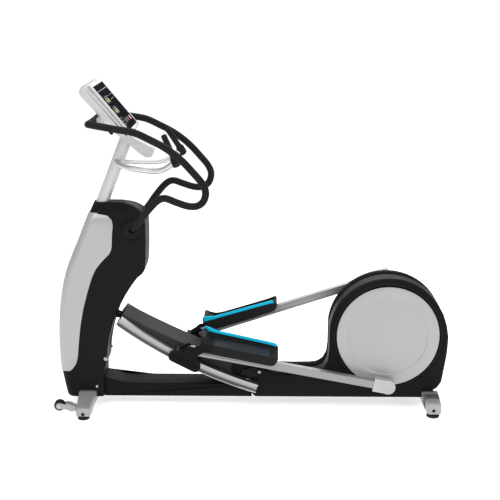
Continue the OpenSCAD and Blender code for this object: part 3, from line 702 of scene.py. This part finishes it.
def make_foot(name, node, root, end, z_root, z_end, half):
    """Cast foot that narrows and sinks towards both ends, low where the tubes cross it."""
    arm = []
    for y in (TUBES_END, 130, 160, 190, half - 110, half - 90, half - 70, half - 40, half - 14,
              half - 6, half - 2, half):
        t = (y - TUBES_END) / (half - TUBES_END)
        draw = {half: 7, half - 2: 3, half - 6: 0.8}.get(y, 0)
        x0, x1 = (a + (b - a) * t for a, b in zip(root, end))
        low = along(y, [(half - 110, 30), (half - 70, 18)])
        high = z_root + (z_end - z_root) * t
        arm.append((y, x0 + draw, x1 - draw, low + draw * 0.6, high - draw))
    side = [(y, *root, 30, 50) for y in (0, TUBES_END - 0.2)] + arm
    stations = [(-y, *rest) for y, *rest in side[:0:-1]] + side
    rows = [[(x, y, z) for x, z in rounded_box(x0, x1, z0, z1, 9)]
            for y, x0, x1, z0, z1 in stations]
    foot = piece_from(name, metres(in_line(rows)), closed_faces(len(rows), len(rows[0])), foot_paint,
                      "frame", [node])
    modify(foot, "WEIGHTED_NORMAL", "normals", keep_sharp=True)


def make_pad(name, x, y, radius, replaced=()):
    """Rubber levelling pad on its threaded stem."""
    profile = [(0.2, 0), (radius - 5, 0), (radius - 1.5, 1.5), (radius, 5), (radius, 10),
               (radius - 2, 14), (radius - 7, 17), (10, 18.5), (7, 19), (6.5, 30), (0.2, 30)]
    turns = 40
    ring = [(math.cos(2 * math.pi * k / turns), math.sin(2 * math.pi * k / turns))
            for k in range(turns)]
    vertices = [(x + r * across, y + r * along_y, z) for r, z in profile for across, along_y in ring]
    piece_from(name, metres(vertices), grid_faces(len(profile), turns, True), foot_rubber, "frame",
               replaced)


def make_wheel_bracket(side):
    """Two cheeks that carry a transport wheel, and its screw."""
    outline = fillet([(-903, 40), (-903, 66), (-930, 80), (-962, 87)], 4)
    outline += arc((WHEEL[0], WHEEL[1]), 17, 75, 255, 12) + [(-960, 54), (-925, 42)]
    for k, y in enumerate((246, 284)):
        vertices, faces = pillow(outline, -y - 3, 3 - y, 1, 1, 2)
        piece_from(f"wheel_bracket_{side}_{k}", metres(vertices), faces, foot_paint, "frame",
                   (), side == "right")
    sign = SIDES[side]
    hex_bolt("wheel_screw_" + side, (WHEEL[0] * MM, -0.2872 * sign, WHEEL[1] * MM), (0, -sign, 0),
             0.0055, "frame")


def make_end_hole(side, name, x, y, z):
    """Rubber grommet in a foot's end face, with a flat black disc inside it: painted shade where the
    opening looks dark.
    """
    # the second ring is a flat black disc, painted shade inside the grommet
    rings = (("grommet", [(4.5, -y - 0.2), (7.5, -y - 1.0), (9.0, -y - 0.8), (9.6, -y + 1.5)]),
             ("hole", [(0.1, -y - 0.1), (5.2, -y - 0.1)]))
    for kind, profile in rings:
        vertices, faces = lathe_y(profile, (x, z), 32)
        piece_from(f"end_{kind}_{name}_{side}", metres(vertices), faces, foot_rubber, "frame",
                   (), side == "right")


def make_crank_cover(side):
    """Moulded crank cover: raised rim, soft step, slightly domed middle."""
    disc = [(12, -121.3), (30, -121.3), (70, -121.2), (120, -120.9), (170, -120.2), (192, -119.4),
            (200, -119.0), (203, -119.6), (206, -122.8), (208, -123.8), (211, -123.9),
            (240, -123.6), (255, -123.2), (261, -122.2), (264, -119.8), (265, -116.5),
            (264.5, -114.2), (250, -114.2)]
    turns = 160
    vertices, faces = lathe_y(disc, CRANK, turns)
    faces.append(tuple(range(turns)))
    piece_from("crank_cover_" + side, metres(vertices), faces, disc_silver, "crank",
               ["crank_disc_" + side], side == "right")


WHEEL = (-988, 70)
FRONT_PAD = (-866, 275.5)
REAR_PAD = (929, 219)
FRONT_HALF, REAR_HALF = 300, 245  # from the middle to the feet's end faces
make_foot("front_foot", "front_stabiliser", (-914, -822), (-902, -829), 92, 62, FRONT_HALF)
make_foot("rear_foot", "rear_stabiliser", (884, 969), (899, 968), 96, 78, REAR_HALF)
make_pad("pad_front_left", FRONT_PAD[0], -FRONT_PAD[1], 30, ["levelling_feet"])
make_pad("pad_front_right", FRONT_PAD[0], FRONT_PAD[1], 30)
make_pad("pad_rear_left", REAR_PAD[0], -REAR_PAD[1], 33)
make_pad("pad_rear_right", REAR_PAD[0], REAR_PAD[1], 33)
for side in SIDES:
    make_wheel_bracket(side)
    make_end_hole(side, "front", FRONT_PAD[0], FRONT_HALF, 32)
    make_end_hole(side, "rear", REAR_PAD[0], REAR_HALF, 40)
    make_crank_cover(side)


# ---------- handlebars ----------

BAR_Y = -270  # where the handlebars run, on the left
HANDLEBAR = [(-800, 0, 1500), (-800, -60, 1500), (-800, -150, 1502), (-798, BAR_Y + 44, 1506),
             (-786, BAR_Y + 12, 1509), (-750, BAR_Y, 1504), (-666, BAR_Y, 1489),
             (-574, BAR_Y, 1473), (-500, BAR_Y, 1440), (-422, BAR_Y, 1398), (-350, BAR_Y, 1343),
             (-290, BAR_Y, 1279), (-245, BAR_Y, 1224), (-229, BAR_Y + 2, 1180),
             (-240, BAR_Y + 6, 1136), (-272, BAR_Y + 10, 1111), (-318, BAR_Y + 14, 1110),
             (-376, BAR_Y + 18, 1128), (-430, -246, 1146), (-470, -236, 1130), (-516, -210, 1080),
             (-556, -172, 1026), (-592, -138, 982), (-607, -124, 963)]
SENSOR_TUBE = [(-694, -28, 1293), (-668, -62, 1279), (-620, -98, 1271), (-560, -124, 1266),
               (-502, -146, 1264), (-460, -163, 1269), (-426, -176, 1284), (-398, -185, 1306),
               (-386, -188, 1318)]
PULSE_GRIP = [(-372, -203, 1302), (-377, -196, 1311), (-386, -185, 1330), (-398, -170, 1352),
              (-420, -144, 1394), (-438, -122, 1427), (-444, -114.5, 1438)]


def grip_radius(run):
    """A fuller sleeve round the support tube's end, a waist, and a rounded tip."""
    body = 0.015 + 0.0068 / (1 + math.exp((run - 0.40) / 0.02))
    cap = max(0.0, (run - 0.93) / 0.07, (0.05 - run) / 0.05)
    return body * math.sqrt(max(0.03, 1 - cap * cap))


def make_handlebar(side):
    flip = side == "right"
    route = smooth_route(metres(HANDLEBAR), 8)
    vertices, faces = tube(route, 0.0179, 28)
    piece_from("handlebar_grip_" + side, vertices, faces, grip_rubber, "frame",
               ["handlebar_" + side], flip)
    vertices, faces = tube(smooth_route(metres(SENSOR_TUBE), 8), 0.014, 24)
    piece_from("support_tube_" + side, vertices, faces, tube_metal, "frame",
               ["sensor_tube_" + side], flip)
    vertices, faces = tube(smooth_route(metres(PULSE_GRIP), 10), grip_radius, 28)
    piece_from("pulse_handle_" + side, vertices, faces, grip_rubber, "frame",
               ["pulse_grip_" + side], flip)
    boss = [(14, -132), (22, -135.5), (32, -134.5), (41, -130), (48, -122.5), (52.5, -113),
            (54, -107), (54, -104.5)]
    vertices, faces = lathe_y(boss, (-612, 958), 64)
    piece_from("handlebar_boss_" + side, metres(vertices), faces, black_shell, "frame",
               ["handlebar_sockets"] if side == "left" else (), flip)


for side in SIDES:
    make_handlebar(side)


# ---------- console ----------

CONSOLE = Matrix.Translation((-0.697, 0, 1.566)) @ Matrix.Rotation(math.radians(50), 4, "Y")


def on_console(vertices):
    return [tuple(CONSOLE @ Vector(v)) for v in vertices]


def console_block(name, low, high, radius, material):
    """A small rounded block in the console's own frame, millimetres."""
    outline = fillet([(low[0], low[2]), (high[0], low[2]), (high[0], high[2]), (low[0], high[2])],
                     radius, 3)
    vertices, faces = pillow(outline, low[1], high[1], radius * 0.6, radius * 0.6, 3)
    piece_from(name, on_console(metres(vertices)), faces, material, "frame")


def make_led_bars(name, x0, y0, phase):
    """Columns of small lit segments whose heights follow a wave."""
    box_faces = ((0, 1, 2, 3), (4, 5, 6, 7), (0, 1, 5, 4), (1, 2, 6, 5), (2, 3, 7, 6), (3, 0, 4, 7))
    half_x, half_y = 1.6, 2.4
    vertices, faces = [], []
    for column in range(14):
        for row in range(1 + round(1.6 + 1.5 * math.sin(column * 0.7 + phase))):
            x, y = x0 + 26 - 5.2 * row, y0 + 6.2 * column
            start = len(vertices)
            for z in (6.6, 7.2):
                vertices += [(x - half_x, y - half_y, z), (x + half_x, y - half_y, z),
                             (x + half_x, y + half_y, z), (x - half_x, y + half_y, z)]
            faces += [tuple(start + k for k in face) for face in box_faces]
    piece_from("led_bars_" + name, on_console(metres(vertices)), faces, led_green, "frame")


def make_console():
    """Shell, and on the display a line, two windows with bars, a keypad and blank legends."""
    outline = fillet([(-178, -34), (-170, -58), (-150, -68), (60, -60), (150, -34), (156, -8),
                      (150, -2), (-160, -2), (-174, -12)], 22, 5)
    vertices, faces = pillow(outline, -172, 172, 20, 20, 7)
    shell = piece_from("console_shell", on_console(metres(vertices)), faces, console_white,
                       "frame", ["console_back"])
    modify(shell, "WEIGHTED_NORMAL", "normals", keep_sharp=True)
    console_block("face_line", (-107, -152, 5.6), (-105, 152, 6.5), 0.4, legend_white)
    for name, x, y in (("upper", -72, -112), ("lower", -6, -112)):
        console_block("window_frame_" + name, (x, y, 5.2), (x + 42, y + 96, 6.8), 1.2,
                      bracket_black)
    make_led_bars("upper", -66, -106, 0)
    make_led_bars("lower", 0, -106, 1.5)
    for row in range(3):
        for column in range(3):
            x, y = 56 + 18 * row, -140 + 22 * column
            console_block(f"keypad_{row}_{column}", (x, y, 5.4), (x + 11, y + 14, 7.2), 1.6,
                          key_grey)
    for row in range(2):
        for column in range(5):
            x, y = -64 + 22 * row, 20 + 26 * column
            console_block(f"legend_{row}_{column}", (x, y, 5.8), (x + 1.6, y + 13, 6.5), 0.3,
                          legend_white)


def make_cable_lug():
    """Small lug under the near handlebar."""
    route = smooth_route(metres([(-690, -262, 1481), (-684, -262, 1470), (-676, -258, 1466)]), 4)
    vertices, faces = tube(route, 0.007, 16)
    piece_from("cable_lug", vertices, faces, grip_rubber, "frame")


make_console()
make_cable_lug()


# ---------- pedals ----------

PIN_INSET = 0.015  # the crank pin's middle lies this far inside the crank arm's end


def pedal_frame(side):
    """Arm's own frame: x from the front pivot to the crank pin, z up from the arm."""
    pivot = Vector(joint_place(f"arm_{side}_pitch"))
    low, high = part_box("crank_arm_" + side)
    pin_z = low.z + PIN_INSET if side == "left" else high.z - PIN_INSET
    pitch = math.atan2(pivot.z - pin_z, CRANK_AXIS[0] - pivot.x)
    return Matrix.Translation((pivot.x, 0, pivot.z)) @ Matrix.Rotation(pitch, 4, "Y")


BOTTOM = [(44, 60), (47, 44), (53, 32), (62, 23), (76, 20), (416, 20), (430, 25), (440, 34),
          (446, 46)]
INNER_RIM = [(44, 92), (50, 103), (62, 105), (84, 100), (110, 93), (400, 83), (432, 80),
             (446, 64)]
OUTER_FOOT = [(44, 44), (50, 28), (60, 16), (90, 12), (415, 7), (430, 12), (440, 24),
              (446, 46)]
OUTER_RIM = [(44, 84), (50, 94), (62, 95), (80, 80), (104, 66), (140, 60), (400, 55), (432, 58),
             (446, 57)]
TREAD = [(44, 84), (50, 96), (60, 97), (72, 82), (88, 62), (108, 51), (140, 47), (380, 44),
         (410, 47), (430, 54), (446, 56)]
STATIONS = [44, 45.5, 47.5, 50, 54, 58, 62, 68, 76, 84, 92, 102, 114, 130, 160, 200, 250, 300,
            350, 385, 405, 418, 426, 433, 438, 442, 444.5, 446]


def pedal_section(u):
    """The closed section at u along the pedal: inner wall, inner rim, tread, outer rim, outer wall."""
    bottom, inner, outer, tread, foot = (along(u, t) for t in (BOTTOM, INNER_RIM, OUTER_RIM, TREAD,
                                                               OUTER_FOOT))
    pull = 6 * max(0.0, (62 - u) / 18) + 5 * max(0.0, (u - 430) / 16)
    lean = min(1.0, max(0.0, (u - 90) / 40))
    inner, outer = max(inner, tread + 1), max(outer, tread + 1)
    foot = min(foot, bottom)
    return [(-212.5 + pull, bottom), (-140, bottom), (-69 - pull, bottom), (-62 - pull, bottom + 4),
            (-60.5 - pull, bottom + 12), (-60.5 - pull, inner - 6), (-62 - pull, inner - 1.5),
            (-65 - pull, inner), (-71 - pull, inner), (-74 - pull, inner - 2),
            (-76 - pull, max(tread + 6 * lean, inner - 12)), (-80 - pull, tread + 7 * lean),
            (-110, tread + 5 * lean), (-150, tread + 2 * lean), (-190, tread - 2 * lean),
            (-207 + pull, tread - 2 * lean), (-211 + pull, tread), (-213 + pull, outer - 2),
            (-216 + pull, outer), (-221 + pull, outer), (-224 + pull, outer - 2.5),
            (-225 + pull, outer - 7), (-225 + pull, foot + 8), (-223.5 + pull, foot + 2),
            (-221 + pull, foot), (-215 + pull, foot), (-213 + pull, foot + 2)]


def pedal_piece(name, side, vertices, faces, material, replaced=()):
    """A piece of a pedal, drawn in the arm's own frame in millimetres."""
    place = pedal_frame(side)
    return piece_from(name + side, [tuple(place @ Vector(point)) for point in metres(vertices)],
                      faces, material, "arm_" + side, replaced, side == "right")


def make_pedal_tray(side):
    rows = [[(u, y, v) for y, v in pedal_section(u)] for u in STATIONS]
    tray = pedal_piece("pedal_tray_", side, in_line(rows), closed_faces(len(rows), len(rows[0])),
                       pedal_black, ["pedal_" + side])
    modify(tray, "WEIGHTED_NORMAL", "normals", keep_sharp=True)


def make_tread_mat(side):
    """Ribbed rubber mat on the tread, its ribs broken by two lengthwise grooves."""
    steps, across = 160, 14
    grooves = (5, 10)
    rows = []
    for i in range(steps + 1):
        u = 112 + 288 * i / steps
        rib = 1.6 * max(0.0, math.sin(i * math.pi / 4)) ** 0.6
        section = pedal_section(u)
        floor = list(zip((80, 110, 150, 190, 207), (v for _, v in section[11:16])))
        row = []
        for k in range(across + 1):
            y = -84 - 118 * k / across
            rise = 0.0 if k in (0, across) else 0.9 + rib * (k not in grooves)
            row.append((u, y, along(-y, floor) + 0.2 + rise))
        rows.append(row)
    mat = pedal_piece("tread_mat_", side, in_line(rows), grid_faces(len(rows), across + 1),
                      tread_rubber)
    modify(mat, "SOLIDIFY", "thickness", thickness=0.0015, offset=-1)


def make_pedal_strip(side):
    """Blue strip that caps the inner rim, deeper towards the toe."""
    rows = []
    for u in (51, 54, 58, 62, 68, 76, 86, 98, 112, 130, 160, 200, 250, 300, 350, 390, 415, 428,
              434):
        section = pedal_section(u)
        top, out = section[7][1] + 1.2, section[5][0] + 0.5
        deep = 10 + 12 * max(0.0, (120 - u) / 70)
        profile = ((0, deep + 3), (0, 4), (1.2, 1.2), (4, 0), (10, 0), (13.6, 1.2), (16.2, 4),
                   (16.8, 10), (18.5, deep))
        rows.append([(u, out - back, top - drop) for back, drop in profile])
    strip = pedal_piece("pedal_strip_", side, in_line(rows), grid_faces(len(rows), len(rows[0])),
                        stripe_blue)
    modify(strip, "SOLIDIFY", "thickness", thickness=0.0014, offset=-1)
    modify(strip, "WEIGHTED_NORMAL", "normals", keep_sharp=True)


def make_pedal_toe(side):
    """The same blue wrapped down the toe."""
    front = [(60, 106.4), (54, 105.6), (49.6, 103), (45.6, 97), (43.2, 90), (42.6, 80), (42.8, 68)]
    rows = [[(u, y, v) for y in (-65.5 - k, -68 - k, -74, -80, -84 + k)]
            for k, (u, v) in enumerate(front)]
    toe = pedal_piece("pedal_toe_", side, in_line(rows), grid_faces(len(rows), len(rows[0])),
                      stripe_blue)
    modify(toe, "SOLIDIFY", "thickness", thickness=0.0016, offset=0)


def make_pedal_bracket(side):
    """Bracket from the toe down over the pivot pin's head."""
    outline = [(110, 24), (110, 60), (46, 60), (38, 46), (16, 35)]
    outline += arc((0, 0), 33, 60, 280, 14)
    outline += [(20, -27), (42, -8), (64, 12)]
    vertices, faces = pillow(fillet(outline, 6), -226.3, -209.6, 5, 1.5)
    bracket = pedal_piece("pedal_bracket_", side, vertices, faces, bracket_black)
    modify(bracket, "WEIGHTED_NORMAL", "normals", keep_sharp=True)


for side in SIDES:
    make_pedal_tray(side)
    make_tread_mat(side)
    make_pedal_strip(side)
    make_pedal_toe(side)
    make_pedal_bracket(side)


# ---------- pivot screws, column crease, ramp side plates and painted shade under the rails ---

def make_pivot_screws(side, sign):
    for node, body, name, gap, radius in (
            ("pivot_pin_" + side, "pivot_pin_" + side, "pivot_screw_", 0.0001, 0.0075),
            ("ramp_shaft", "frame", "ramp_shaft_screw_", 0.0, 0.0062)):
        low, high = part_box(node)
        middle = (low + high) / 2
        outer = high.y if side == "right" else low.y
        hex_bolt(name + side, (middle.x, outer - sign * gap, middle.z), (0, -sign, 0), radius, body)


def make_column_crease(side):
    """Crease across the column's flank, below the handlebar's boss."""
    route = smooth_route(metres([(-549, -104.6, 960), (-640, -104.9, 898), (-720, -104.9, 846),
                                 (-752, -104.9, 822)]), 4)
    vertices, faces = tube(route, 0.0011, 8)
    piece_from("column_crease_" + side, vertices, faces, foot_rubber, "frame", (),
               side == "right")


def make_ramp_side_plate(side):
    """Side plate that closes the ramp's rear end down to its pivot."""
    outline = fillet([(-118, 206), (-66, 160), (-14, 163), (36, 178), (50, 200), (36, 222),
                      (-8, 226), (-60, 232), (-104, 240)], 14)
    vertices, faces = pillow(outline, -103.8, -100.7, 1, 1, 2)
    piece_from("ramp_side_plate_" + side, metres(vertices), faces, bracket_black, "ramp",
               (), side == "right")


def make_rail_lip_shade(side):
    """Black band along the rail's lower lip: painted shade for the dark line under the lip."""
    start, end = 250.1, 233.6
    band = arc(RAIL_CENTRE, 2440.2, start, end, 40) + arc(RAIL_CENTRE, 2442.4, end, start, 40)
    vertices, faces = pillow(band, -146.5, -144, 0, 0, 1)
    piece_from("rail_lip_shade_" + side, metres(vertices), faces, foot_rubber, "ramp",
               (), side == "right")


for side, sign in SIDES.items():
    make_pivot_screws(side, sign)
    make_column_crease(side)
    make_ramp_side_plate(side)
    make_rail_lip_shade(side)
